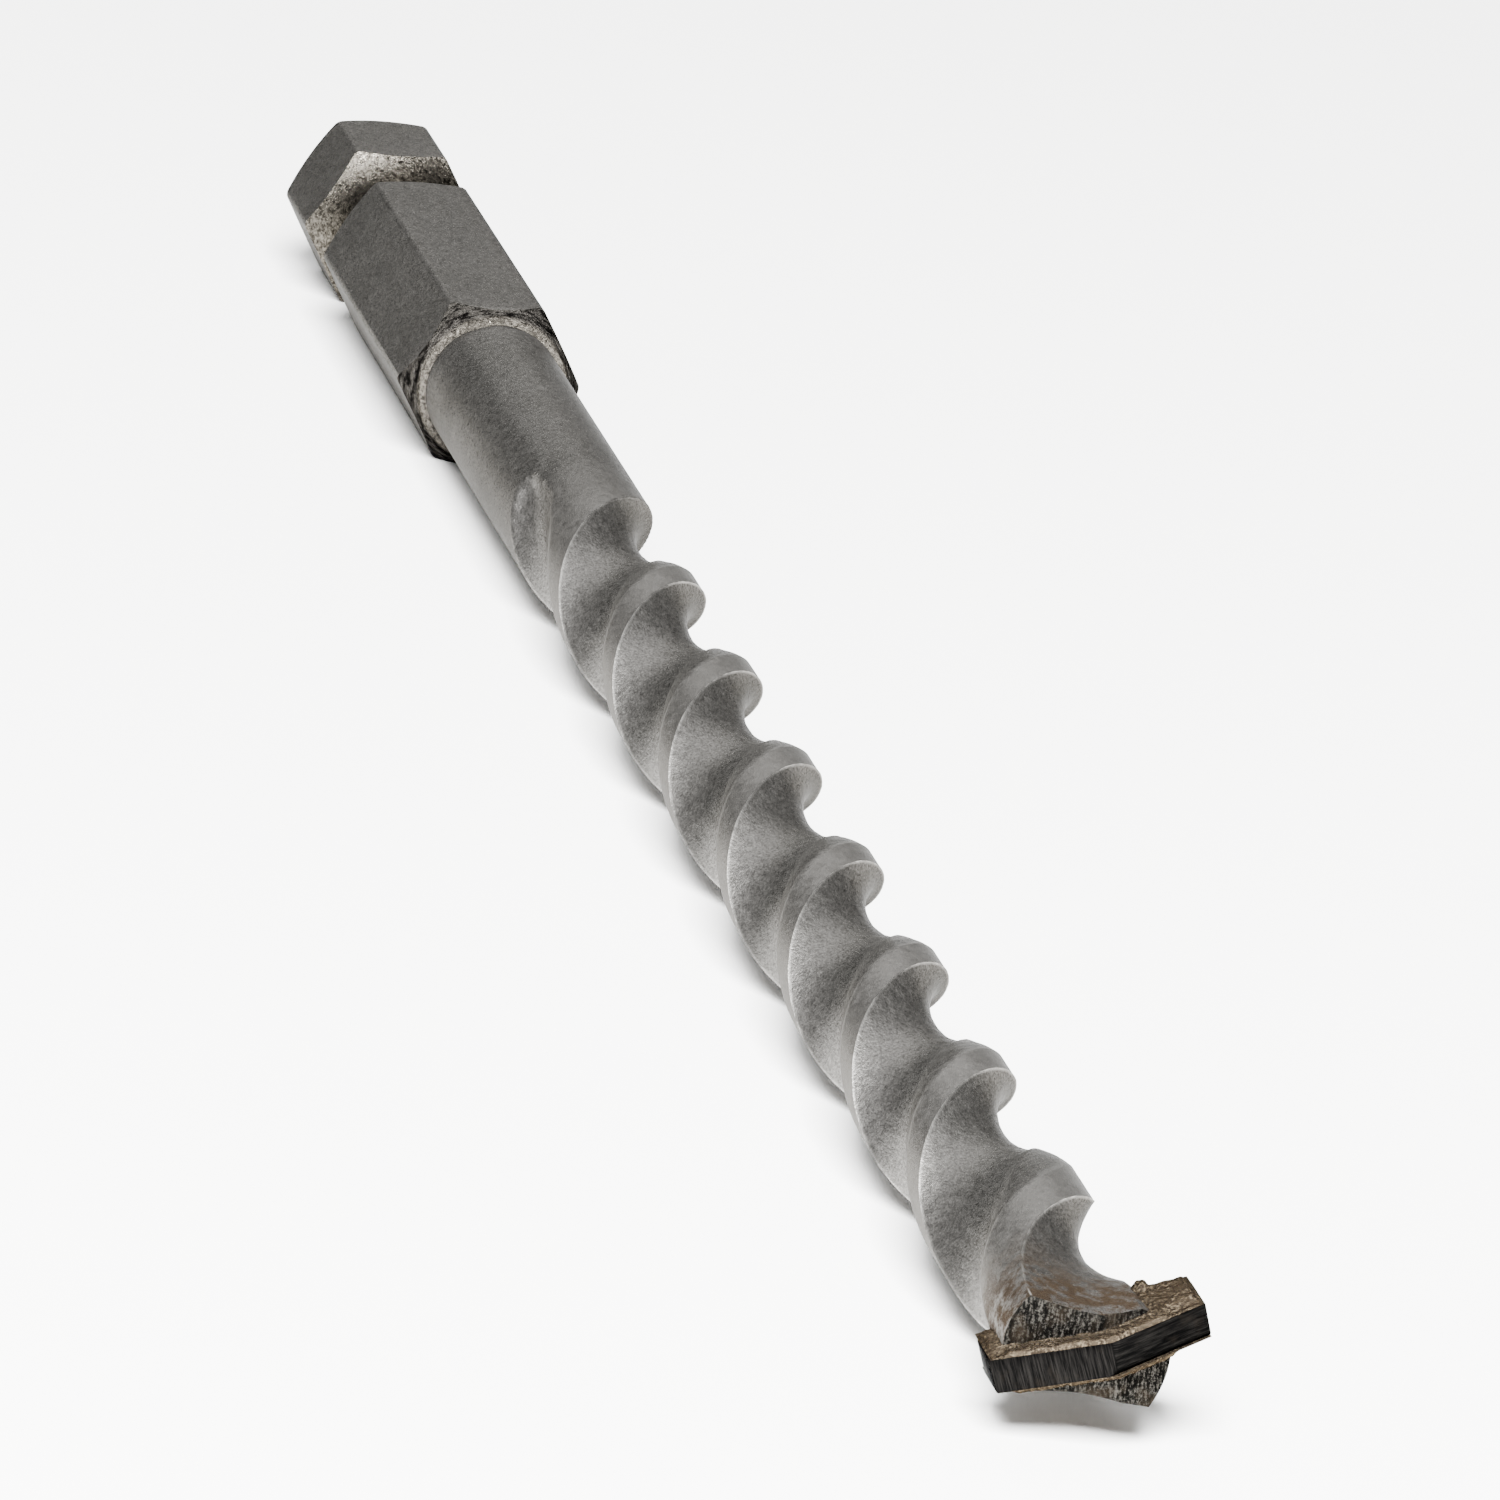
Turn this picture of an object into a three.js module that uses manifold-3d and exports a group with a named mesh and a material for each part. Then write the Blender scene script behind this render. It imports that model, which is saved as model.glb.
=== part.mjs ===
// Masonry drill bit with a hexagonal quick-change shank and a brazed carbide tip.
//
// Millimetres. The tool lies along +X: the origin is the centre of the flat rear end of the shank, the
// point is at +X, and the hexagon has a flat facing up (+Z) and a flat facing down (-Z).
//
// The pieces are drawn standing up, along their own z axis, and the whole group is then laid down so that
// local x becomes +Y, local y becomes +Z and local z becomes +X.
import * as THREE from "three";
import { mergeVertices } from "three/addons/utils/BufferGeometryUtils.js";
import Module from "manifold-3d";

// Lengths along the tool, from the rear end.
const TOTAL_LENGTH = 248.5;
const SHOULDER = 51.6; // front of the hexagon
const RUN_OUT_START = 83.4; // where the flutes begin to sink into the neck
const RUN_OUT_LENGTH = 16; // over which they reach full depth, the path of a round cutter
const RUN_OUT_LIFT = 2.2;
const CARBIDE_HEIGHT = 6.8;
const CARBIDE_BASE = TOTAL_LENGTH - CARBIDE_HEIGHT;

// Shank.
const ACROSS_FLATS = 11.1125; // 7/16 in
const CORNER_RADIUS = 0.57;
const REAR_FACE_RADIUS = 5.4;
const REAR_CHAMFER = 0.95;
const SHOULDER_FACE_RADIUS = 5.1;
const SHOULDER_CHAMFER = 1.3;
const GROOVE_CENTRE = 13.6;
const GROOVE_ROOT_RADIUS = 4.1;
const GROOVE_ARC_RADIUS = 5.1;

// Body and flutes.
const BODY_RADIUS = 4.69;
const NECK_FILLET = 0.5;
const LEAD = 39.3; // axial advance in one turn, two starts
const LAND_ANGLE = 33; // degrees of the circle left at full radius by each flute
const HEAD_LAND_ANGLE = 51; // the same at the head, where the flutes narrow
const FLUTE_BACK_RADIUS = 3.7; // where the flat floor of a flute turns out towards the next land
const FLUTE_BACK_ANGLE = 108; // degrees behind the sharp edge
const EDGE_ANGLE = 306.4; // direction of the sharp edge of a land at EDGE_STATION
const EDGE_STATION = 235.8;

// The helix slackens by HEAD_LAG degrees between two stations, then straightens out along the head.
const LAG_START = 221;
const LAG_END = 231;
const HEAD_LAG = 27;
const STRAIGHTEN_START = 236.2;
const STRAIGHTEN_LENGTH = 12.4;

// Head.
const PLATE_ANGLE = 18.9; // the carbide's direction, from +Y towards +Z
const PLATE_OFFSET = 0.65; // of the plate's middle from the axis, along the plate
const POINT_OFFSET = 0.4; // of the ground point from the plate's middle
const CARBIDE_RADIUS = 6.2;
const CARBIDE_THICKNESS = 2;
const ROOF_DROP = 2.1; // from the point to the outer corners
const CLEARANCE_ANGLE = 9;
const STEEL_SETBACK = 1.5; // of the steel's front behind the carbide's edge
const BRAZE_THICKNESS = 0.22;
const JOINT_GAP = 0.03; // left between pieces that are brazed face to face
const BACK_CHAMFER = 0.5;

const degrees = THREE.MathUtils.degToRad;
const wasm = await Module();
wasm.setup();

const steel = new THREE.MeshStandardMaterial({ color: 0x7a7975, roughness: 0.5, metalness: 0.9 });
const carbide = new THREE.MeshStandardMaterial({ color: 0x2e2c2a, roughness: 0.4, metalness: 0.8 });
const braze = new THREE.MeshStandardMaterial({ color: 0x9b8b7c, roughness: 0.6, metalness: 0.7 });

function solidFrom(geometry) {
  const plain = geometry.clone();
  plain.deleteAttribute("normal");
  plain.deleteAttribute("uv");
  const merged = mergeVertices(plain, 1e-4);
  return new wasm.Manifold(
    new wasm.Mesh({
      numProp: 3,
      vertProperties: merged.attributes.position.array,
      triVerts: new Uint32Array(merged.index.array),
    }),
  );
}

function geometryFrom(solid) {
  const mesh = solid.getMesh();
  const geometry = new THREE.BufferGeometry();
  geometry.setAttribute("position", new THREE.BufferAttribute(mesh.vertProperties, 3));
  geometry.setIndex(new THREE.BufferAttribute(mesh.triVerts, 1));
  geometry.computeVertexNormals();
  return geometry;
}

// A solid of revolution about z from [radius, z] points that run from the axis back to the axis.
function turned(points, segments = 72) {
  const outline = points.map(([radius, z]) => new THREE.Vector2(radius, z));
  return solidFrom(new THREE.LatheGeometry(outline, segments).rotateX(Math.PI / 2));
}

// A flat outline in the plane of the carbide, given a thickness and turned into place.
function plateLike(points, thickness) {
  const outline = new THREE.Shape(points.map(([along, z]) => new THREE.Vector2(along, z)));
  const geometry = new THREE.ExtrudeGeometry(outline, { depth: thickness, bevelEnabled: false });
  return solidFrom(geometry.translate(0, 0, -thickness / 2).rotateX(Math.PI / 2));
}

function box(width, thickness, low, high) {
  const geometry = new THREE.BoxGeometry(width, thickness, high - low);
  return solidFrom(geometry.translate(0, 0, (low + high) / 2));
}

function hexagonOutline() {
  const outline = new THREE.Shape();
  const cornerDistance = (ACROSS_FLATS / 2 - CORNER_RADIUS) / Math.cos(Math.PI / 6);
  for (let corner = 0; corner < 6; corner++) {
    const angle = (corner * Math.PI) / 3;
    const x = cornerDistance * Math.cos(angle);
    const y = cornerDistance * Math.sin(angle);
    outline.absarc(x, y, CORNER_RADIUS, angle - Math.PI / 6, angle + Math.PI / 6);
  }
  return outline;
}

// The hexagon bar, chamfered at the rear, turned down to a shoulder in front, with the ring groove.
function makeShank() {
  const bar = solidFrom(
    new THREE.ExtrudeGeometry(hexagonOutline(), { depth: SHOULDER, bevelEnabled: false, curveSegments: 4 }),
  );
  const clear = ACROSS_FLATS;
  const turnedEnvelope = turned([
    [0, 0],
    [REAR_FACE_RADIUS, 0],
    [REAR_FACE_RADIUS + 2 * REAR_CHAMFER, 2 * REAR_CHAMFER],
    [clear, 2 * REAR_CHAMFER],
    [clear, SHOULDER - 2 * SHOULDER_CHAMFER],
    [SHOULDER_FACE_RADIUS + SHOULDER_CHAMFER, SHOULDER - 2 * SHOULDER_CHAMFER + 0.4],
    [SHOULDER_FACE_RADIUS, SHOULDER],
    [0, SHOULDER],
  ]);
  const groove = solidFrom(
    new THREE.TorusGeometry(GROOVE_ROOT_RADIUS + GROOVE_ARC_RADIUS, GROOVE_ARC_RADIUS, 40, 72)
      .translate(0, 0, GROOVE_CENTRE),
  );
  return bar.intersect(turnedEnvelope).subtract(groove);
}

// The small fillet where the neck meets the shoulder.
function makeNeckFillet() {
  const points = [[0, SHOULDER - 1]];
  points.push([BODY_RADIUS + NECK_FILLET, SHOULDER - 1]);
  for (let step = 0; step <= 4; step++) {
    const angle = (step * Math.PI) / 8;
    const radius = BODY_RADIUS + NECK_FILLET * (1 - Math.sin(angle));
    points.push([radius, SHOULDER + NECK_FILLET * (1 - Math.cos(angle))]);
  }
  points.push([0, SHOULDER + NECK_FILLET]);
  return turned(points);
}

// The body's section, with the sharp edge of one land at angle 0. Each flute has a flat floor that starts
// at the sharp edge and turns out into the back of the next land.
function fluteOutline() {
  const outline = new THREE.Shape();
  outline.moveTo(BODY_RADIUS, 0);
  for (let start = 0; start < 2; start++) {
    const edge = -start * 180;
    const at = (radius, angle) => [
      radius * Math.cos(degrees(edge - angle)),
      radius * Math.sin(degrees(edge - angle)),
    ];
    const from = at(BODY_RADIUS, 0);
    const to = at(FLUTE_BACK_RADIUS, FLUTE_BACK_ANGLE);
    const floorSteps = 9;
    for (let step = 1; step <= floorSteps; step++) {
      const share = step / floorSteps;
      outline.lineTo(from[0] + (to[0] - from[0]) * share, from[1] + (to[1] - from[1]) * share);
    }
    const landBack = 180 - LAND_ANGLE;
    const turn = at(BODY_RADIUS * 1.01, (FLUTE_BACK_ANGLE + landBack) / 2);
    outline.quadraticCurveTo(...turn, ...at(BODY_RADIUS, landBack));
    outline.absarc(0, 0, BODY_RADIUS, degrees(edge - landBack), degrees(edge - 180), true);
  }
  return outline;
}

// How far the section has turned at a station.
function twistAt(station) {
  const rate = 360 / LEAD;
  const lag = HEAD_LAG * THREE.MathUtils.smoothstep(station, LAG_START, LAG_END);
  const past = THREE.MathUtils.clamp(station - STRAIGHTEN_START, 0, STRAIGHTEN_LENGTH);
  const share = past / STRAIGHTEN_LENGTH;
  const gained = (STRAIGHTEN_LENGTH / 3) * (1 - (1 - share) ** 3);
  return EDGE_ANGLE + rate * (Math.min(station, STRAIGHTEN_START) - EDGE_STATION + gained) - lag;
}

// The direction of an outline point, in degrees, once the land has widened towards the head.
function widened(angle, station) {
  const turnedBack = (720 - angle) % 360;
  const start = Math.floor(turnedBack / 180);
  const behind = turnedBack % 180;
  const flute = 180 - LAND_ANGLE;
  const share = THREE.MathUtils.smoothstep(station, LAG_START, STRAIGHTEN_START + STRAIGHTEN_LENGTH / 2);
  const narrowed = flute - (HEAD_LAND_ANGLE - LAND_ANGLE) * share;
  const moved = behind < flute
    ? (behind * narrowed) / flute
    : 180 - ((180 - behind) * (180 - narrowed)) / LAND_ANGLE;
  return -moved - start * 180;
}

// How far the cutter stands off its full depth at a station.
function cutterLift(station) {
  const share = THREE.MathUtils.clamp((station - RUN_OUT_START) / RUN_OUT_LENGTH, 0, 1);
  return RUN_OUT_LIFT * (1 - Math.sqrt(1 - (1 - share) ** 2));
}

// The neck and the fluted body, from inside the shank to the head. The first two rings of the swept outline
// are the ends of the round neck.
function makeFlutedBody() {
  const rings = 76;
  const geometry = new THREE.ExtrudeGeometry(fluteOutline(), {
    depth: rings,
    steps: rings,
    bevelEnabled: false,
    curveSegments: 5,
  });
  const position = geometry.attributes.position;
  const point = new THREE.Vector3();
  for (let index = 0; index < position.count; index++) {
    point.fromBufferAttribute(position, index);
    const ring = Math.round(point.z);
    const along = Math.max(0, ring - 1) / (rings - 1);
    const station = RUN_OUT_START + along * (TOTAL_LENGTH - RUN_OUT_START);
    const radius = Math.min(BODY_RADIUS, Math.hypot(point.x, point.y) + cutterLift(station));
    const outlineAngle = THREE.MathUtils.radToDeg(Math.atan2(point.y, point.x));
    const angle = degrees(widened(outlineAngle, station) + twistAt(station));
    const z = ring === 0 ? SHOULDER - 0.5 : station;
    position.setXYZ(index, radius * Math.cos(angle), radius * Math.sin(angle), z);
  }
  return solidFrom(geometry);
}

// The outline of a roof in the carbide's plane, with its ground point at the given height.
function roofOutline(halfWidth, base, point) {
  const slope = ROOF_DROP / CARBIDE_RADIUS;
  const apex = PLATE_OFFSET + POINT_OFFSET;
  return [
    [-halfWidth, base],
    [halfWidth, base],
    [halfWidth, point - slope * (halfWidth - apex)],
    [apex, point],
    [-halfWidth, point - slope * (halfWidth + apex)],
  ];
}

// Steel: hexagon shank, neck and fluted body in one bar, its head ground to a roof and slotted.
function makeSteelBody() {
  const bar = makeShank().add(makeNeckFillet()).add(makeFlutedBody());
  const roof = plateLike(roofOutline(12, -20, TOTAL_LENGTH - STEEL_SETBACK), 24);
  const slotWidth = CARBIDE_THICKNESS + 2 * (BRAZE_THICKNESS + 2 * JOINT_GAP);
  const slotFloor = CARBIDE_BASE - BRAZE_THICKNESS - 2 * JOINT_GAP;
  const slot = box(24, slotWidth, slotFloor, TOTAL_LENGTH + 4);
  return bar.intersect(roof.rotate([0, 0, PLATE_ANGLE])).subtract(slot.rotate([0, 0, PLATE_ANGLE]));
}

// Everything above one relief plane of the carbide's point. The plane holds that half's cutting edge, on one
// side of the plate, and falls away behind it. The two planes meet in the chisel edge across the centre.
function reliefCutter(side) {
  const reach = 30;
  const slope = Math.atan2(ROOF_DROP, CARBIDE_RADIUS);
  const rise = Math.tan(degrees(CLEARANCE_ANGLE)) * (CARBIDE_THICKNESS / 2);
  const cutter = new THREE.BoxGeometry(2 * reach, 2 * reach, reach).translate(0, 0, reach / 2);
  cutter.rotateX(degrees(side * CLEARANCE_ANGLE));
  cutter.rotateY(side * slope);
  cutter.translate(PLATE_OFFSET + POINT_OFFSET, (side * CARBIDE_THICKNESS) / 2, TOTAL_LENGTH + rise);
  return solidFrom(cutter);
}

// Carbide: a plate with a roof point, each half relieved behind its own cutting edge, ends ground round.
function makeCarbideTip() {
  const blank = box(2 * CARBIDE_RADIUS + 2, CARBIDE_THICKNESS, CARBIDE_BASE, TOTAL_LENGTH + 1);
  const ends = turned([
    [0, CARBIDE_BASE - 1],
    [CARBIDE_RADIUS - BACK_CHAMFER - 1, CARBIDE_BASE - 1],
    [CARBIDE_RADIUS - BACK_CHAMFER, CARBIDE_BASE],
    [CARBIDE_RADIUS - 0.1, CARBIDE_BASE + 2 * BACK_CHAMFER],
    [CARBIDE_RADIUS, TOTAL_LENGTH - ROOF_DROP],
    [CARBIDE_RADIUS, TOTAL_LENGTH + 2],
    [0, TOTAL_LENGTH + 2],
  ], 96);
  const placed = blank.intersect(ends).translate([PLATE_OFFSET, 0, 0]);
  const ground = placed.subtract(reliefCutter(1)).subtract(reliefCutter(-1));
  return ground.rotate([0, 0, PLATE_ANGLE]);
}

// Braze: the film round the carbide in its slot, squeezed out a little proud of the steel.
function makeBraze() {
  const proud = 0.3;
  const filmWidth = CARBIDE_THICKNESS + 2 * (BRAZE_THICKNESS + JOINT_GAP);
  const filmFloor = CARBIDE_BASE - BRAZE_THICKNESS - JOINT_GAP;
  const film = box(24, filmWidth, filmFloor, TOTAL_LENGTH + 1);
  const carbideRoom = box(26, CARBIDE_THICKNESS + 2 * JOINT_GAP, CARBIDE_BASE - JOINT_GAP, TOTAL_LENGTH + 2);
  const envelope = plateLike(
    roofOutline(BODY_RADIUS, CARBIDE_BASE - 2, TOTAL_LENGTH - STEEL_SETBACK + proud),
    CARBIDE_THICKNESS * 2,
  );
  return film.intersect(envelope).subtract(carbideRoom).rotate([0, 0, PLATE_ANGLE]);
}

function namedMesh(name, solid, material) {
  const mesh = new THREE.Mesh(geometryFrom(solid), material);
  mesh.name = name;
  return mesh;
}

const drillBit = new THREE.Group();
drillBit.add(namedMesh("steel_body", makeSteelBody(), steel));
drillBit.add(namedMesh("carbide_tip", makeCarbideTip(), carbide));
drillBit.add(namedMesh("braze_filler", makeBraze(), braze));
drillBit.quaternion.setFromAxisAngle(new THREE.Vector3(1, 1, 1).normalize(), (2 * Math.PI) / 3);

export default drillBit;
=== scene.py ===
# Looks of a masonry drill bit: a bead-blasted steel bar with a hexagon shank and helical flutes, a ground
# carbide plate across its head and the braze that holds the plate. Lengths are millimetres unless a name
# says otherwise, and MM turns them into Blender's metres. The tool lies along +X with its point at +X.
import math

import bmesh
import bpy
from mathutils import Matrix, Vector, noise


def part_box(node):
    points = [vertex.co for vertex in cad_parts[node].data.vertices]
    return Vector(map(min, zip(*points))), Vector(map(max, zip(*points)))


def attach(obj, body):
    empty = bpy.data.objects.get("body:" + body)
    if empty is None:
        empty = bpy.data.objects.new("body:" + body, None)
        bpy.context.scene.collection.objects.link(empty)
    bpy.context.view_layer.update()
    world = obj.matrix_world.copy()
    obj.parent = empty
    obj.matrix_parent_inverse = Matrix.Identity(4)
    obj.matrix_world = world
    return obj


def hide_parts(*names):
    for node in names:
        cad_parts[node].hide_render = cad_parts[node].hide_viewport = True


MM = 0.001

# Shank.
CORNER_RADIUS = 0.57
REAR_FACE_RADIUS = 5.4
REAR_CHAMFER = 1.9
GROOVE_CENTRE = 13.6
GROOVE_ROOT_RADIUS = 4.1
GROOVE_ARC_RADIUS = 5.1
CLEAR_RADIUS = 7.3  # past the hexagon's ridges
SHOULDER = 51.6  # front of the hexagon
SHOULDER_DEPTH = 2.2
SHOULDER_FACE_RADIUS = 5.1
SHOULDER_CORNER_RADIUS = 6.42
BRIGHT_RING_RADIUS = 5.08  # inside it the shoulder is turned bright
NECK_FILLET = 0.45
NECK_FILLET_SINK = 0.03  # of the fillet's end into the neck
COLLAR_PROUD = 0.42  # of the metal that the neck's fillet is cut from
TEAR_DEPTH = 0.16
TEAR_ROUGHNESS = 0.07
TEAR_RIDGES = 4.2  # across the shoulder

# Flutes.
BODY_RADIUS = 4.69
RUN_OUT_START = 83.4  # where the flutes begin to sink into the neck
RUN_OUT_LENGTH = 13
RUN_OUT_DELAY = 6  # how much later the flute's back wall starts than its cutting edge
RUN_OUT_LIFT = 2.2
LEAD = 39.3  # axial advance in one turn, two starts
LAND_ANGLE = 33  # degrees of the circle left at full radius by each flute
HEAD_LAND_ANGLE = 51
FLUTE_BACK_RADIUS = 3.7  # where the flat floor of a flute turns out towards the next land
FLUTE_BACK_ANGLE = 108
FLUTE_BACK_PULL = 0.985  # of the body's radius, how far out that turn is pulled
EDGE_ANGLE = 306.4  # direction of the sharp edge of a land at EDGE_STATION
EDGE_STATION = 235.8
LAG_START = 221
LAG_END = 231
HEAD_LAG = 27
STRAIGHTEN_START = 236.2
STRAIGHTEN_LENGTH = 12.4
FLOOR_SCALLOP = 0.035
LAND_WAVE = 0.012
BURR_START = RUN_OUT_START + 3
BURR_HEIGHT = 0.03
BURR_WIDTH = 0.32  # degrees

# Head.
PLATE_ANGLE = math.radians(18.9)
PLATE_OFFSET = 0.65
POINT_OFFSET = 0.4
CARBIDE_RADIUS = 6.2
CARBIDE_THICKNESS = 2.0
CARBIDE_HEIGHT = 6.8
ROOF_DROP = 2.1
CLEARANCE_ANGLE = math.radians(9)
RELIEF_RISE = 0.16  # of POINT past the plate's cutting edges
STEEL_SETBACK = 1.5
BACK_CHAMFER = 0.5
PLATE_BEVEL = 0.07
SLOT_SIDE_GAP = 0.15
SLOT_FLOOR_GAP = 0.2

# Braze.
COAT = 0.05
COAT_LEAST = 0.012
COAT_INSIDE = 0.004  # how far its inner face stands off the plate
COAT_INSET = 0.05  # behind the cutting edges' line, and ahead of the plate's rear
COAT_END_INSET = 0.06
CORNER_BEAD = 0.3
CORNER_BEAD_REACH = 0.55
FLANK_BEAD = 0.25
FLANK_BEAD_REACH = 0.35
DROPS = ((6.4, 4.1, 0.5), (5.2, 4.45, 0.34))  # behind the point, along the plate, radius

# Mesh density.
FLOOR_STEPS = 38
TURN_STEPS = 18
LAND_STEPS = 22
COLUMNS = 2 * (FLOOR_STEPS + TURN_STEPS + LAND_STEPS)
RING_STEP = 0.38
NECK_RINGS = 15
NECK_RING_STEP = 2.2
GROOVE_STEPS = 40
SHOULDER_STEPS = 44
COAT_COLUMNS = 150
COAT_ROWS = 70

# Cutting blocks reach this far out from the axis and past the tool's ends.
CUTTER_REACH = 15
CUTTER_MARGIN = 5

# Camera and light.
CAMERA_PLACE = Vector((956.3, -182.8, 244.8))
CAMERA_BACK = Vector((0.93691, -0.2108, 0.27887)).normalized()
CAMERA_UP = Vector((-0.29592, -0.05359, 0.95371))
CAMERA_LENS = 336
WORLD_STRENGTH = 0.35
FLOOR_SIZE = 4000

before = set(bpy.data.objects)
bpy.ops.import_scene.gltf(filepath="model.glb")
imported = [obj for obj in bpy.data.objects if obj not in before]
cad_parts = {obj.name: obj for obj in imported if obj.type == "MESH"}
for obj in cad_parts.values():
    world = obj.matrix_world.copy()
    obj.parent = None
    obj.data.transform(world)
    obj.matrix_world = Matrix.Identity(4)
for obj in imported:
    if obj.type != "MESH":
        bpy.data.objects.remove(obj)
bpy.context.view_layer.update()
steel_low, steel_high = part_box("steel_body")
carbide_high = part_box("carbide_tip")[1]
ACROSS_FLATS = 2 * steel_high.z / MM
POINT = carbide_high.x / MM + RELIEF_RISE  # stations of the head are counted back from here
CUTTING_EDGE = POINT - RELIEF_RISE
PLATE_REAR = POINT - CARBIDE_HEIGHT
APEX = PLATE_OFFSET + POINT_OFFSET
FLOOR_HEIGHT = steel_low.z
FLAT_TURNS = [math.radians(30 + 60 * side) for side in range(3)]  # directions of the hexagon's flats


def linear(hex_colour):
    """An sRGB colour written as RRGGBB, as Blender's linear colour."""
    channels = [int(hex_colour[i : i + 2], 16) / 255 for i in (0, 2, 4)]
    return tuple(c / 12.92 if c <= 0.04045 else ((c + 0.055) / 1.055) ** 2.4 for c in channels) + (1.0,)


def smoothstep(value, low, high):
    share = min(1.0, max(0.0, (value - low) / (high - low)))
    return share * share * (3 - 2 * share)


# ---------------------------------------------------------------- mesh helpers


def shade_smooth(mesh, sharp_angle):
    """Smooth faces, with the edges over sharp_angle degrees left sharp."""
    mesh.polygons.foreach_set("use_smooth", [True] * len(mesh.polygons))
    mesh.set_sharp_from_angle(angle=math.radians(sharp_angle))


def new_object(name, bm, sharp_angle=35):
    """A smooth-shaded object from a bmesh in millimetres."""
    bmesh.ops.transform(bm, matrix=Matrix.Scale(MM, 4), verts=bm.verts)
    bmesh.ops.recalc_face_normals(bm, faces=bm.faces)
    mesh = bpy.data.meshes.new(name)
    bm.to_mesh(mesh)
    bm.free()
    shade_smooth(mesh, sharp_angle)
    made = bpy.data.objects.new(name, mesh)
    bpy.context.scene.collection.objects.link(made)
    return made


def combine(target, tool, operation):
    """Joins or cuts target with tool for good, and removes tool."""
    step = target.modifiers.new(operation, "BOOLEAN")
    step.operation = operation
    step.object = tool
    step.solver = "MANIFOLD"
    bpy.context.view_layer.update()
    evaluated = target.evaluated_get(bpy.context.evaluated_depsgraph_get())
    mesh = bpy.data.meshes.new_from_object(evaluated)
    target.modifiers.clear()
    old = target.data
    target.data = mesh
    bpy.data.meshes.remove(old)
    bpy.data.objects.remove(tool)
    if not mesh.polygons:
        raise RuntimeError(target.name + " is empty after " + operation)


def lathe(name, profile, steps=144, wobble=None):
    """A closed solid of revolution about X from (radius, station) points that start and end on the axis.
    wobble gives how far a point shifts along X, from its radius, station and angle."""
    bm = bmesh.new()
    verts = [bm.verts.new((station, radius, 0)) for radius, station in profile]
    for a, b in zip(verts, verts[1:]):
        bm.edges.new((a, b))
    bmesh.ops.spin(
        bm,
        geom=bm.verts[:] + bm.edges[:],
        cent=(0, 0, 0),
        axis=(1, 0, 0),
        angle=2 * math.pi,
        steps=steps,
        use_merge=True,
    )
    bmesh.ops.remove_doubles(bm, verts=bm.verts, dist=1e-5)
    if wobble:
        for v in bm.verts:
            radius = math.hypot(v.co.y, v.co.z)
            if radius > 1e-3:
                v.co.x += wobble(radius, v.co.x, math.atan2(v.co.z, v.co.y))
    return new_object(name, bm)


def to_plate_frame(bm):
    """Turns a bmesh drawn with the plate's length along Y and its thickness along Z into place."""
    bmesh.ops.transform(bm, matrix=Matrix.Rotation(PLATE_ANGLE, 4, "X"), verts=bm.verts)


def block(bm, low, high):
    """A box between two corners, added to bm."""
    size = Vector(high) - Vector(low)
    middle = (Vector(high) + Vector(low)) / 2
    made = bmesh.ops.create_cube(bm, size=1)
    bmesh.ops.scale(bm, vec=size, verts=made["verts"])
    bmesh.ops.translate(bm, vec=middle, verts=made["verts"])
    return made["verts"]


def cut_away(bm, place, normal):
    """Removes what is on the normal's side of a plane and closes the cut with a face."""
    geometry = bm.verts[:] + bm.edges[:] + bm.faces[:]
    cut = bmesh.ops.bisect_plane(bm, geom=geometry, plane_co=place, plane_no=normal, clear_outer=True)
    edges = [e for e in cut["geom_cut"] if isinstance(e, bmesh.types.BMEdge)]
    bmesh.ops.contextual_create(bm, geom=edges)


# ---------------------------------------------------------------- steel body


def polar(radius, degrees):
    """A point of the body's section."""
    return Vector((radius * math.cos(math.radians(degrees)), radius * math.sin(math.radians(degrees))))


def flute_half():
    """Points of half of the body's section, as (radius, degrees behind the sharp edge): the edge, a flat
    flute floor, the turn up the back of the next land, and that land."""
    land_back = 180 - LAND_ANGLE
    corner = Vector((BODY_RADIUS, 0))
    floor_end = polar(FLUTE_BACK_RADIUS, FLUTE_BACK_ANGLE)
    pull = polar(BODY_RADIUS * FLUTE_BACK_PULL, (FLUTE_BACK_ANGLE + land_back) / 2)
    turn_end = polar(BODY_RADIUS, land_back)
    points = []
    for step in range(FLOOR_STEPS):
        share = (step / FLOOR_STEPS) ** 1.35  # closer together at the sharp edge
        points.append(corner.lerp(floor_end, share))
    for step in range(TURN_STEPS):
        t = step / TURN_STEPS
        points.append(floor_end * (1 - t) ** 2 + pull * 2 * t * (1 - t) + turn_end * t * t)
    section = [(p.length, math.degrees(math.atan2(p.y, p.x))) for p in points]
    for step in range(LAND_STEPS):
        share = 1 - (1 - step / LAND_STEPS) ** 1.6
        section.append((BODY_RADIUS, land_back + LAND_ANGLE * share))
    return section


def twist_at(station):
    """How far the section has turned at a station, in degrees. The round neck doesn't turn."""
    station = max(station, RUN_OUT_START)
    lag = HEAD_LAG * smoothstep(station, LAG_START, LAG_END)
    share = min(1.0, max(0.0, (station - STRAIGHTEN_START) / STRAIGHTEN_LENGTH))
    gained = STRAIGHTEN_LENGTH / 3 * (1 - (1 - share) ** 3)
    return EDGE_ANGLE + 360 / LEAD * (min(station, STRAIGHTEN_START) - EDGE_STATION + gained) - lag


def widened(behind, station):
    """Degrees behind the sharp edge once the land has widened towards the head."""
    flute = 180 - LAND_ANGLE
    share = smoothstep(station, LAG_START, STRAIGHTEN_START + STRAIGHTEN_LENGTH / 2)
    narrowed = flute - (HEAD_LAND_ANGLE - LAND_ANGLE) * share
    if behind < flute:
        return behind * narrowed / flute
    return 180 - (180 - behind) * (180 - narrowed) / LAND_ANGLE


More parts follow.
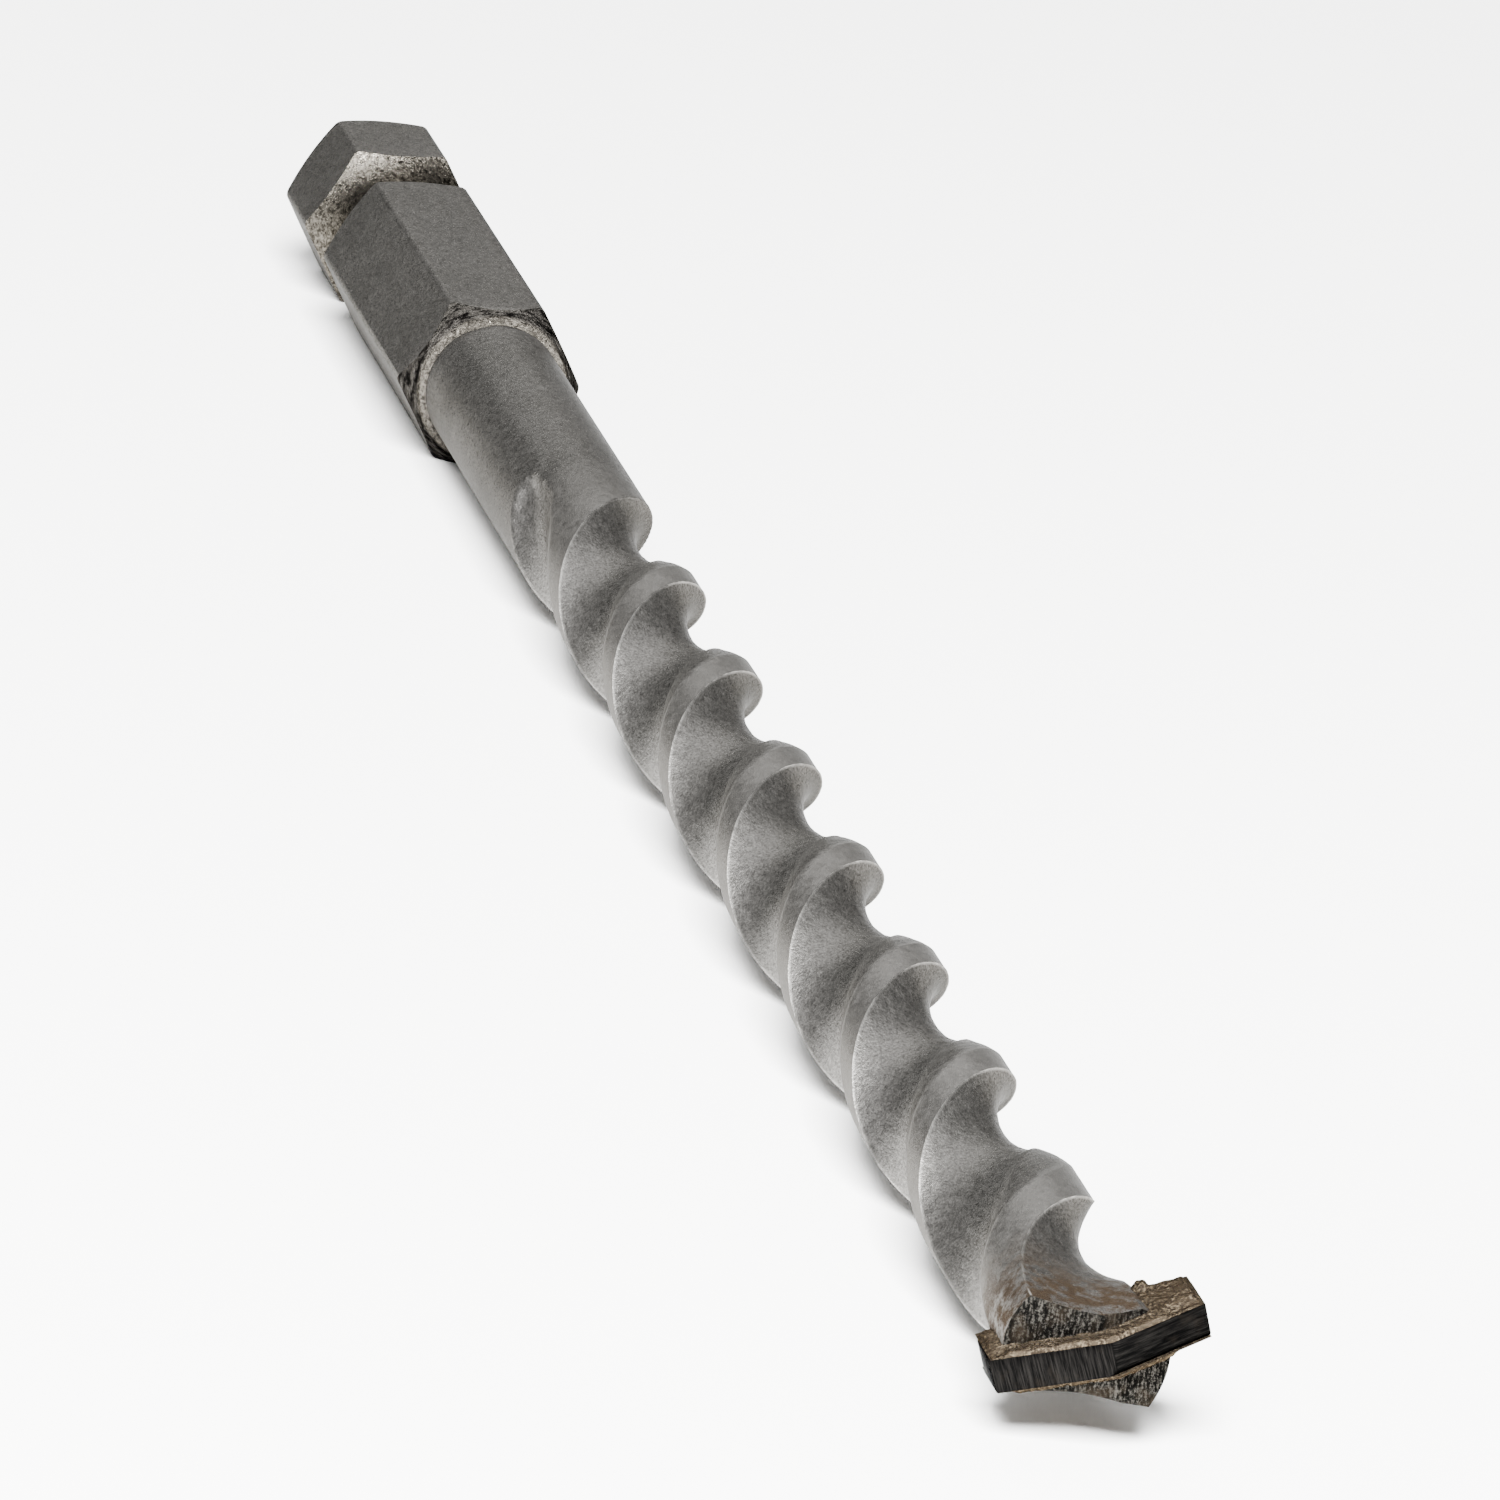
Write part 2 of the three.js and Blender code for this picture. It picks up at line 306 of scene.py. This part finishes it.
def run_out_lift(station, behind):
    """How much shallower the flute is where the cutter lifts out of the bar."""
    start = RUN_OUT_START + RUN_OUT_DELAY * smoothstep(behind, 20, 110)
    share = min(1.0, max(0.0, (station - start) / RUN_OUT_LENGTH))
    return RUN_OUT_LIFT * (1 - math.sqrt(1 - (1 - share) ** 2))


def surface_point(station, radius, behind, half):
    """Where a section point lies, with the lands' slight waviness and the burr along their sharp edges."""
    placed = min(BODY_RADIUS, radius + run_out_lift(station, behind))
    angle = math.radians(twist_at(station) - widened(behind, station) - 180 * half)
    spot = Vector((station, placed * math.cos(angle), placed * math.sin(angle)))
    if station > RUN_OUT_START:
        # The cutter leaves faint scallops on the flute floors, and the lands are a little uneven.
        cut = smoothstep(BODY_RADIUS - placed, 0.0, 0.3)
        scallop = cut * FLOOR_SCALLOP * noise.noise(spot * 0.9)
        wave = (1 - cut) * LAND_WAVE * noise.noise(spot * 0.5)
        placed += scallop + wave
    if station > BURR_START:
        from_edge = min(behind, 180 - behind)
        ragged = 0.65 + 0.8 * noise.noise(Vector((station * 1.7, 3.1 * half, 0)))
        placed += BURR_HEIGHT * max(0.0, ragged) * math.exp(-((from_edge / BURR_WIDTH) ** 2))
    return station, placed * math.cos(angle), placed * math.sin(angle)


def fluted_body():
    """The round neck and the fluted body as one tube, from inside the shank to past the head."""
    half = flute_half()
    ahead = POINT + 1
    rings = [SHOULDER - 1.0 + step * NECK_RING_STEP for step in range(NECK_RINGS)]
    rings.append(RUN_OUT_START - RING_STEP)
    fine = int((ahead - RUN_OUT_START) / RING_STEP)
    rings += [RUN_OUT_START + (ahead - RUN_OUT_START) * step / fine for step in range(fine + 1)]
    bm = bmesh.new()
    start = bmesh.ops.create_circle(
        bm, segments=COLUMNS, radius=1, cap_ends=False, matrix=Matrix.Rotation(math.pi / 2, 4, "Y")
    )
    edges = list({e for v in start["verts"] for e in v.link_edges})
    bmesh.ops.spin(
        bm,
        geom=start["verts"] + edges,
        cent=(0, 0, 0),
        axis=(1, 0, 0),
        dvec=(1, 0, 0),
        angle=0,
        steps=len(rings) - 1,
    )
    for v in bm.verts:
        ring = round(v.co.x)
        column = round(-math.atan2(v.co.z, v.co.y) / (2 * math.pi) * COLUMNS) % COLUMNS
        side, index = divmod(column, len(half))
        radius, behind = half[index]
        v.co = surface_point(rings[ring], radius, behind, side)
    bmesh.ops.holes_fill(bm, edges=bm.edges, sides=0)
    return new_object("fluted_body", bm)


def hexagon_bar():
    """A hexagon prism with rounded ridges, flats facing up and down."""
    bm = bmesh.new()
    corner = ACROSS_FLATS / 2 / math.cos(math.pi / 6)
    made = bmesh.ops.create_circle(
        bm, segments=6, radius=corner, cap_ends=True, matrix=Matrix.Rotation(math.pi / 2, 4, "Y")
    )
    bmesh.ops.bevel(
        bm,
        geom=made["verts"],
        offset=CORNER_RADIUS * math.tan(math.pi / 6),
        offset_type="OFFSET",
        affect="VERTICES",
        segments=10,
        profile=0.5,
        material=-1,
    )
    pulled = bmesh.ops.extrude_face_region(bm, geom=bm.faces[:])
    bmesh.ops.translate(
        bm, vec=(SHOULDER, 0, 0), verts=[v for v in pulled["geom"] if isinstance(v, bmesh.types.BMVert)]
    )
    return new_object("hexagon_bar", bm)


def torn(radius, station, angle):
    """How far the shoulder's torn turning marks shift a point along X. They are ridges round the axis that
    break off and overlap."""
    into = (station - (SHOULDER - SHOULDER_DEPTH)) / SHOULDER_DEPTH
    if into < 0.02 or radius < BODY_RADIUS + 0.3 or radius > SHOULDER_CORNER_RADIUS + 0.1:
        return 0
    around = Vector((math.cos(angle), math.sin(angle), 0))
    drift = noise.noise(around * 2.3 + Vector((0, 0, into * 2)))
    ridge = (into * TEAR_RIDGES + drift * 0.9) % 1
    rough = noise.noise(around * 14 + Vector((0, 0, into * 9)))
    strength = smoothstep(into, 0.02, 0.2) * smoothstep(into, 1.02, 0.72) * (0.7 + 0.6 * drift)
    return strength * (TEAR_DEPTH * (ridge - 0.5) + TEAR_ROUGHNESS * rough)


def shank_envelope():
    """What the lathe leaves of the hexagon: rear chamfer, ring groove and shoulder."""
    rise = GROOVE_ROOT_RADIUS + GROOVE_ARC_RADIUS - CLEAR_RADIUS
    groove_half = math.sqrt(GROOVE_ARC_RADIUS**2 - rise**2)
    profile = [(0, 0), (REAR_FACE_RADIUS, 0), (REAR_FACE_RADIUS + REAR_CHAMFER, REAR_CHAMFER)]
    for step in range(GROOVE_STEPS + 1):
        station = GROOVE_CENTRE - groove_half + 2 * groove_half * step / GROOVE_STEPS
        drop = math.sqrt(GROOVE_ARC_RADIUS**2 - (station - GROOVE_CENTRE) ** 2)
        profile.append((GROOVE_ROOT_RADIUS + GROOVE_ARC_RADIUS - drop, station))
    foot = SHOULDER - SHOULDER_DEPTH
    profile.append((CLEAR_RADIUS, foot - 0.3))
    for step in range(SHOULDER_STEPS + 1):
        share = step / SHOULDER_STEPS
        radius = SHOULDER_CORNER_RADIUS + (SHOULDER_FACE_RADIUS - SHOULDER_CORNER_RADIUS) * share
        profile.append((radius, foot + SHOULDER_DEPTH * share))
    for step in range(1, 7):
        turn = math.radians(15 * step)
        radius = BODY_RADIUS - NECK_FILLET_SINK + NECK_FILLET * (1 - math.sin(turn))
        profile.append((radius, SHOULDER + NECK_FILLET * (1 - math.cos(turn))))
    profile.append((0, SHOULDER + NECK_FILLET))
    return lathe("shank_envelope", profile, steps=216, wobble=torn)


def collar():
    """Metal in front of the hexagon, for the envelope to leave the neck's fillet in."""
    rear = SHOULDER - 1.5
    radius = BODY_RADIUS + COLLAR_PROUD
    return lathe("collar", [(0, rear), (radius, rear), (radius, SHOULDER + 0.05), (0, SHOULDER + 0.3)])


def roof_normal(side):
    """Normal of the steel's ground front face on one side of the point, in the plate's frame."""
    return Vector((CARBIDE_RADIUS, side * ROOF_DROP, 0)).normalized()


def steel_body():
    """The whole bar: shank, neck and flutes joined, the head ground to a roof and slotted for the plate."""
    bar = hexagon_bar()
    combine(bar, collar(), "UNION")
    combine(bar, shank_envelope(), "INTERSECT")
    combine(bar, fluted_body(), "UNION")
    bar.name = "steel_body_fine"
    front = bmesh.new()
    low = (-CUTTER_MARGIN, -CUTTER_REACH, -CUTTER_REACH)
    block(front, low, (POINT + CUTTER_MARGIN, CUTTER_REACH, CUTTER_REACH))
    apex = Vector((POINT - STEEL_SETBACK, APEX, 0))
    for side in (-1, 1):
        cut_away(front, apex, roof_normal(side))
    to_plate_frame(front)
    combine(bar, new_object("front", front), "INTERSECT")
    slot = bmesh.new()
    half = CARBIDE_THICKNESS / 2 + SLOT_SIDE_GAP
    low = (PLATE_REAR - SLOT_FLOOR_GAP, -CUTTER_REACH, -half)
    block(slot, low, (POINT + CUTTER_MARGIN, CUTTER_REACH, half))
    to_plate_frame(slot)
    combine(bar, new_object("slot", slot), "DIFFERENCE")
    shade_smooth(bar.data, 32)
    return bar


def groove_radius(station):
    """Radius of the ring groove's arc at a station, or nothing outside the arc."""
    from_centre = abs(station - GROOVE_CENTRE)
    if from_centre >= GROOVE_ARC_RADIUS:
        return None
    return GROOVE_ROOT_RADIUS + GROOVE_ARC_RADIUS - math.sqrt(GROOVE_ARC_RADIUS**2 - from_centre**2)


def flatness(normal):
    """How nearly a normal points the way of one of the hexagon's flats, 1 for exactly."""
    return max(abs(normal.y * math.cos(turn) + normal.z * math.sin(turn)) for turn in FLAT_TURNS)


def mark_steel(bar):
    """Writes what the steel's material reads: the burr on the points, and the turned groove and torn
    shoulder on the faces."""
    mesh = bar.data
    burr = mesh.attributes.new("burr", "FLOAT", "POINT")
    for index, vertex in enumerate(mesh.vertices):
        station, y, z = vertex.co / MM
        radius = math.hypot(y, z)
        if station > BURR_START and radius > BODY_RADIUS - 0.3:
            behind = (twist_at(station) - math.degrees(math.atan2(z, y))) % 180
            from_edge = min(behind, 180 - behind)
            ragged = smoothstep(noise.noise(vertex.co / MM * 1.9), -0.35, 0.4)
            burr.data[index].value = ragged * math.exp(-((from_edge / BURR_WIDTH) ** 2))
    turned = mesh.attributes.new("turned", "FLOAT", "FACE")
    torn_marks = mesh.attributes.new("torn", "FLOAT", "FACE")
    for index, face in enumerate(mesh.polygons):
        station, y, z = face.center / MM
        radius = math.hypot(y, z)
        groove = groove_radius(station)
        if groove and abs(radius - groove) < 0.12 and flatness(face.normal) < 0.9999:
            turned.data[index].value = 1.0
        at_shoulder = SHOULDER - SHOULDER_DEPTH - 0.2 < station < SHOULDER + NECK_FILLET
        if at_shoulder and radius > BODY_RADIUS + 0.02 and face.normal.x > 0.15:
            torn_marks.data[index].value = 1.0


# ---------------------------------------------------------------- carbide plate and braze


def carbide_plate():
    """The plate: a roof point, each half relieved behind its own cutting edge, with small ground bevels."""
    bm = bmesh.new()
    half = CARBIDE_THICKNESS / 2
    low = (PLATE_REAR, PLATE_OFFSET - CARBIDE_RADIUS, -half)
    high = (POINT + 2, PLATE_OFFSET + CARBIDE_RADIUS, half)
    block(bm, low, high)
    slope = math.atan2(ROOF_DROP, CARBIDE_RADIUS)
    for side in (1, -1):
        forward = math.cos(slope) * math.cos(CLEARANCE_ANGLE)
        normal = Vector((forward, side * math.sin(slope), -side * math.sin(CLEARANCE_ANGLE)))
        cut_away(bm, Vector((CUTTING_EDGE, APEX, side * half)), normal)
    for side in (1, -1):
        corner = Vector((low[0] + 2 * BACK_CHAMFER, PLATE_OFFSET + side * CARBIDE_RADIUS, 0))
        cut_away(bm, corner, Vector((-0.5, side, 0)))
    bmesh.ops.bevel(
        bm,
        geom=bm.edges[:],
        offset=PLATE_BEVEL,
        offset_type="OFFSET",
        affect="EDGES",
        segments=2,
        profile=0.5,
        material=-1,
    )
    to_plate_frame(bm)
    return new_object("carbide_plate", bm, 25)


def front_of_cheek(along):
    """Station of the cutting edges at a place along the plate."""
    return CUTTING_EDGE - ROOF_DROP / CARBIDE_RADIUS * abs(along - PLATE_OFFSET - POINT_OFFSET)


def braze_thickness(station, along, side):
    """How proud the braze stands of the carbide's cheek."""
    front = front_of_cheek(along)
    steel_front = front - STEEL_SETBACK + RELIEF_RISE
    spot = Vector((station, along, 7.0 * side))
    lumps = noise.noise(spot * 1.3) * 0.5 + noise.noise(spot * 3.1) * 0.35 + noise.noise(spot * 7.0) * 0.2
    coat = COAT + COAT * lumps
    # One bead lies in the corner between the steel's front and the cheek, one where the flute meets it.
    ahead = max(0.0, station - steel_front)
    corner = CORNER_BEAD * math.exp(-((ahead / CORNER_BEAD_REACH) ** 1.4)) * (1 + 0.5 * lumps)
    reach = max(0.0, abs(along) - (BODY_RADIUS - 0.35))
    flank = FLANK_BEAD * math.exp(-((reach / FLANK_BEAD_REACH) ** 1.3)) * (1 + 0.6 * lumps)
    thick = max(coat, corner, flank)
    # It thins out towards the plate's front, rear and ends.
    from_front = smoothstep(front - station, 0.02, 0.22)
    from_rear = smoothstep(station, PLATE_REAR + 0.1, PLATE_REAR + 0.6)
    from_end = smoothstep(CARBIDE_RADIUS - abs(along - PLATE_OFFSET), 0.08, 0.5)
    return max(COAT_LEAST, thick * min(from_front, from_rear) * (0.15 + 0.85 * from_end))


def braze_coat(bm, side):
    """The braze over one cheek of the plate, as a thin closed sheet with a lumpy outer face. Its front keeps
    to the cutting edges' line on both halves, so it stands past the plate on the relieved half."""
    made = bmesh.ops.create_grid(bm, x_segments=COAT_ROWS, y_segments=COAT_COLUMNS, size=0.5)
    sheet = made["verts"]
    faces = list({f for v in sheet for f in v.link_faces})
    outer = bmesh.ops.extrude_face_region(bm, geom=faces)
    outer_verts = {v for v in outer["geom"] if isinstance(v, bmesh.types.BMVert)}
    for v in list(sheet) + list(outer_verts):
        along = PLATE_OFFSET + (CARBIDE_RADIUS - COAT_END_INSET) * 2 * v.co.y
        front = front_of_cheek(along) - COAT_INSET
        rear = PLATE_REAR + COAT_INSET
        station = rear + (front - rear) * (v.co.x + 0.5)
        proud = COAT_INSIDE
        if v in outer_verts:
            proud = braze_thickness(station, along, side)
        v.co = (station, along, side * (CARBIDE_THICKNESS / 2 + proud))


def braze_blob(bm, station, along, side, size):
    """A run of braze that froze in the corner of the flute."""
    made = bmesh.ops.create_icosphere(bm, subdivisions=4, radius=1)
    for v in made["verts"]:
        lump = 1 + 0.25 * noise.noise(v.co * 1.4 + Vector((along, station, 0)))
        v.co = Vector((v.co.x * size * 1.5, v.co.y * size, v.co.z * size * 0.8)) * lump
        v.co += Vector((station, along, side * (CARBIDE_THICKNESS / 2 + size * 0.35)))


def braze():
    """The braze over both cheeks, with its frozen drops."""
    bm = bmesh.new()
    for side in (1, -1):
        braze_coat(bm, side)
        for behind, along, size in DROPS:
            braze_blob(bm, POINT - behind, side * along, side, size)
    to_plate_frame(bm)
    return new_object("braze_coat", bm, 60)


# ---------------------------------------------------------------- materials


def feed(tree, node, inputs):
    """Sets a node's inputs to values, or links them to sockets."""
    for name, value in inputs.items():
        if isinstance(value, bpy.types.NodeSocket):
            tree.links.new(value, node.inputs[name])
        else:
            node.inputs[name].default_value = value


def add(tree, kind, inputs=None, **settings):
    """A node of any kind, with its settings and its inputs."""
    made = tree.nodes.new(kind)
    for name, value in settings.items():
        setattr(made, name, value)
    feed(tree, made, inputs or {})
    return made


def new_material(name):
    material = bpy.data.materials.new(name)
    material.use_nodes = True
    tree = material.node_tree
    tree.nodes.clear()
    shader = add(tree, "ShaderNodeBsdfPrincipled")
    output = add(tree, "ShaderNodeOutputMaterial")
    tree.links.new(shader.outputs["BSDF"], output.inputs["Surface"])
    return material, tree, shader


def object_space(tree):
    return add(tree, "ShaderNodeTexCoord").outputs["Object"]


def grain(tree, vector, size_mm, detail=2.0, roughness=0.5):
    """Noise whose patches are about size_mm across."""
    inputs = {"Vector": vector, "Scale": 1 / (size_mm * MM), "Detail": detail, "Roughness": roughness}
    return add(tree, "ShaderNodeTexNoise", inputs).outputs["Fac"]


def spread(tree, value, low, high, to_low=0.0, to_high=1.0):
    """value mapped from one range to another, clamped."""
    inputs = {"Value": value, "From Min": low, "From Max": high, "To Min": to_low, "To Max": to_high}
    return add(tree, "ShaderNodeMapRange", inputs).outputs["Result"]


def maths(tree, operation, a, b=0.0):
    return add(tree, "ShaderNodeMath", {0: a, 1: b}, operation=operation).outputs[0]


def blend_colours(tree, share, a, b):
    return add(tree, "ShaderNodeMix", {0: share, 6: a, 7: b}, data_type="RGBA").outputs[2]


def attribute(tree, name):
    return add(tree, "ShaderNodeAttribute", attribute_name=name).outputs["Fac"]


def dark_metal(tree, shader, colour, roughness, bump, edge):
    """Finishes a metal. Its grazing reflection is held down by edge, as a blasted or dusty metal's is."""
    inputs = {"Base Color": colour, "Roughness": roughness, "Metallic": 1.0, "Specular Tint": linear(edge)}
    feed(tree, shader, inputs)
    feed(tree, shader, {"Normal": bump.outputs[0]})


def blasted_steel():
    """Bead-blasted alloy steel: an even, slightly warm dark grey with a fine matt grain, so lights spread
    into soft bands. The same bar carries lathe-turned metal in the groove, torn turning marks at the
    shoulder, bright burrs on the lands' edges and a brown heat stain near the head."""
    material, tree, shader = new_material("blasted_steel")
    space = object_space(tree)
    # Real bead marks are about 0.05 mm; they are drawn at 0.16 mm and up so that they show.
    fine = grain(tree, space, 0.16, 3.0, 0.7)
    medium = grain(tree, space, 0.5, 3.0, 0.6)
    broad = grain(tree, space, 7.0, 3.0, 0.55)
    turned, torn_marks, burr = [attribute(tree, name) for name in ("turned", "torn", "burr")]
    colour = blend_colours(tree, spread(tree, fine, 0.3, 0.7), linear("4a4947"), linear("7e7c79"))
    colour = blend_colours(tree, spread(tree, broad, 0.35, 0.7, 0.0, 0.35), colour, linear("504f4c"))
    across = add(tree, "ShaderNodeSeparateXYZ", {0: space})
    squares = [maths(tree, "MULTIPLY", across.outputs[i], across.outputs[i]) for i in (1, 2)]
    radius = maths(tree, "SQRT", maths(tree, "ADD", squares[0], squares[1]))
    # The blast hits the lands squarely and leaves them paler than the flutes, and the neck a little paler.
    inner = spread(tree, radius, (BODY_RADIUS - 0.16) * MM, (BODY_RADIUS - 0.06) * MM)
    outer = spread(tree, radius, (BODY_RADIUS + 0.1) * MM, (BODY_RADIUS + 0.2) * MM, 1.0, 0.0)
    along = spread(tree, across.outputs[0], RUN_OUT_START * MM, (RUN_OUT_START + 12) * MM, 0.06, 0.5)
    skin = maths(tree, "MULTIPLY", maths(tree, "MULTIPLY", inner, outer), along)
    colour = blend_colours(tree, skin, colour, linear("8b8986"))
    speckled = spread(tree, grain(tree, space, 0.3, 4.0, 0.85), 0.42, 0.58)
    groove = blend_colours(tree, speckled, linear("25231f"), linear("5e5a53"))
    colour = blend_colours(tree, turned, colour, groove)
    # The shoulder is dark and torn outside and bright beside the neck, its marks drawn out across the axis.
    streaks = add(tree, "ShaderNodeMapping", {"Vector": space, "Scale": (1, 0.3, 0.3)}).outputs[0]
    ridges = spread(tree, grain(tree, streaks, 0.3, 4.0, 0.7), 0.42, 0.58)
    outside = spread(tree, radius, BRIGHT_RING_RADIUS * MM, 5.3 * MM)
    torn_colour = blend_colours(tree, ridges, linear("0b0a09"), linear("3e3c39"))
    bright_ring = blend_colours(tree, speckled, linear("2a2825"), linear("65615a"))
    shoulder = blend_colours(tree, outside, bright_ring, torn_colour)
    colour = blend_colours(tree, torn_marks, colour, shoulder)
    # Heat from the brazing browns the last few millimetres of the flutes.
    heat = spread(tree, across.outputs[0], (POINT - 12) * MM, (POINT - 6) * MM)
    patches = spread(tree, grain(tree, space, 1.3, 5.0, 0.75), 0.38, 0.54)
    stain = maths(tree, "MULTIPLY", heat, patches)
    colour = blend_colours(tree, maths(tree, "MULTIPLY", stain, 0.9), colour, linear("3b3126"))
    colour = blend_colours(tree, burr, colour, linear("a5a39e"))
    rough = spread(tree, medium, 0.3, 0.7, 0.36, 0.46)
    rough = maths(tree, "SUBTRACT", rough, maths(tree, "MULTIPLY", turned, 0.14))
    rough = maths(tree, "ADD", rough, maths(tree, "MULTIPLY", stain, 0.15))
    height = maths(tree, "ADD", maths(tree, "MULTIPLY", fine, 0.6), maths(tree, "MULTIPLY", medium, 0.4))
    worked = maths(tree, "ADD", maths(tree, "MULTIPLY", turned, 0.3), torn_marks)
    height = maths(tree, "ADD", height, maths(tree, "MULTIPLY", worked, speckled))
    bump = add(tree, "ShaderNodeBump", {"Strength": 0.6, "Distance": 0.08 * MM, "Height": height})
    dark_metal(tree, shader, colour, rough, bump, "767676")
    return material


def rough_ground_steel():
    """Steel ground back on a coarse wheel: nearly black, with sparkling specks and short scratches."""
    material, tree, shader = new_material("rough_ground_steel")
    space = object_space(tree)
    pits = grain(tree, space, 0.16, 4.0, 0.8)
    leaning = {"Vector": space, "Rotation": (PLATE_ANGLE + 0.35, 0, 0), "Scale": (1, 2.0, 0.4)}
    scratches = grain(tree, add(tree, "ShaderNodeMapping", leaning).outputs[0], 0.3, 3.0, 0.6)
    mixed = maths(tree, "ADD", maths(tree, "MULTIPLY", pits, 0.6), maths(tree, "MULTIPLY", scratches, 0.4))
    colour = blend_colours(tree, spread(tree, mixed, 0.49, 0.6), linear("090908"), linear("45433f"))
    stain = spread(tree, grain(tree, space, 1.8, 3.0, 0.6), 0.5, 0.7, 0.0, 0.6)
    colour = blend_colours(tree, stain, colour, linear("2c261f"))
    bump = add(tree, "ShaderNodeBump", {"Strength": 1.0, "Distance": 0.14 * MM, "Height": mixed})
    dark_metal(tree, shader, colour, 0.42, bump, "707070")
    return material


def ground_carbide():
    """Sintered carbide, diamond ground: nearly black with a dull shine. The fine grinding lines run from
    cheek to cheek on one relief face and along the plate on the other."""
    material, tree, shader = new_material("tungsten_carbide")
    space = object_space(tree)
    turned_back = {"Vector": space, "Rotation": (-PLATE_ANGLE, 0, 0)}
    in_plate = add(tree, "ShaderNodeMapping", turned_back).outputs[0]
    leaning = {"Vector": in_plate, "Rotation": (0.3, 0, 0), "Scale": (0.5, 3.0, 0.12)}
    along = {"Vector": in_plate, "Rotation": (0.12, 0, 0), "Scale": (0.5, 0.1, 3.0)}
    crossing = grain(tree, add(tree, "ShaderNodeMapping", leaning).outputs[0], 0.25, 3.0, 0.65)
    running = grain(tree, add(tree, "ShaderNodeMapping", along).outputs[0], 0.35, 3.0, 0.65)
    place = add(tree, "ShaderNodeSeparateXYZ", {0: in_plate}).outputs[1]
    second = spread(tree, place, (APEX - 0.05) * MM, (APEX + 0.05) * MM)
    lines = add(tree, "ShaderNodeMix", {0: second, 2: crossing, 3: running}, data_type="FLOAT").outputs[0]
    colour = blend_colours(tree, spread(tree, lines, 0.42, 0.66), linear("060606"), linear("191817"))
    dust = spread(tree, grain(tree, space, 1.4, 4.0, 0.6), 0.55, 0.75, 0.0, 0.35)
    colour = blend_colours(tree, dust, colour, linear("221e1a"))
    bump = add(tree, "ShaderNodeBump", {"Strength": 0.7, "Distance": 0.05 * MM, "Height": lines})
    dark_metal(tree, shader, colour, 0.4, bump, "606060")
    return material


def frozen_braze():
    """Braze as it froze: tan and golden with a grainy skin, brown flux burnt into its hollows."""
    material, tree, shader = new_material("braze")
    space = object_space(tree)
    speckle = grain(tree, space, 0.2, 4.0, 0.8)
    patches = grain(tree, space, 1.1, 3.0, 0.6)
    colour = blend_colours(tree, spread(tree, speckle, 0.48, 0.62), linear("221d18"), linear("615748"))
    colour = blend_colours(tree, spread(tree, patches, 0.42, 0.62, 0.0, 0.8), colour, linear("393229"))
    bump = add(tree, "ShaderNodeBump", {"Strength": 1.0, "Distance": 0.1 * MM, "Height": speckle})
    dark_metal(tree, shader, colour, 0.46, bump, "807868")
    return material


def pale_floor():
    """Seamless white paper: matt and plain, so it only carries a soft shadow."""
    material, _, shader = new_material("white_paper")
    shader.inputs["Base Color"].default_value = linear("f4f4f3")
    shader.inputs["Roughness"].default_value = 0.9
    return material


# ---------------------------------------------------------------- the object

body = steel_body()
mark_steel(body)
body.data.materials.clear()
body.data.materials.append(blasted_steel())
body.data.materials.append(rough_ground_steel())
for polygon in body.data.polygons:
    faces_front = polygon.normal.x > 0.85 and polygon.center.x > (POINT - 8) * MM
    polygon.material_index = 1 if faces_front else 0
plate = carbide_plate()
plate.data.materials.append(ground_carbide())
filler = braze()
filler.data.materials.append(frozen_braze())

for piece, node, slot in (
    (body, "steel_body", "blasted_steel"),
    (plate, "carbide_tip", "tungsten_carbide"),
    (filler, "braze_filler", "braze"),
):
    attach(piece, "root")
    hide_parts(node)

# ---------------------------------------------------------------- stage, light and camera

floor_bm = bmesh.new()
bmesh.ops.create_grid(floor_bm, x_segments=1, y_segments=1, size=FLOOR_SIZE)
bmesh.ops.translate(floor_bm, vec=(0, 0, FLOOR_HEIGHT / MM), verts=floor_bm.verts)
floor = new_object("floor", floor_bm)
floor.data.materials.append(pale_floor())

middle = Vector((POINT * MM / 2, 0, 0))


def softbox(name, direction, distance, size, power):
    """A square white area light that looks at the object's middle. distance and size are metres."""
    light = bpy.data.lights.new(name, "AREA")
    light.shape = "SQUARE"
    light.size = size
    light.energy = power
    holder = bpy.data.objects.new(name, light)
    place = middle + Vector(direction).normalized() * distance
    facing = (place - middle).to_track_quat("Z", "Y").to_matrix().to_4x4()
    holder.matrix_world = Matrix.Translation(place) @ facing
    bpy.context.scene.collection.objects.link(holder)


softbox("key", (0.66, -0.16, 0.74), 0.95, 0.45, 112)
softbox("back", (-0.68, 0.05, 0.73), 1.2, 0.8, 7)

world = bpy.data.worlds.new("studio")
world.use_nodes = True
world.node_tree.nodes["Background"].inputs["Color"].default_value = linear("ffffff")
world.node_tree.nodes["Background"].inputs["Strength"].default_value = WORLD_STRENGTH
bpy.context.scene.world = world

camera_data = bpy.data.cameras.new("camera")
camera_data.sensor_width = 36
camera_data.lens = CAMERA_LENS
camera_data.clip_start = 0.05
camera_data.clip_end = 50
camera = bpy.data.objects.new("camera", camera_data)
right = CAMERA_UP.cross(CAMERA_BACK).normalized()
up = CAMERA_BACK.cross(right)
turn = Matrix((right, up, CAMERA_BACK)).transposed().to_4x4()
camera.matrix_world = Matrix.Translation(CAMERA_PLACE * MM) @ turn
bpy.context.scene.collection.objects.link(camera)
bpy.context.scene.camera = camera
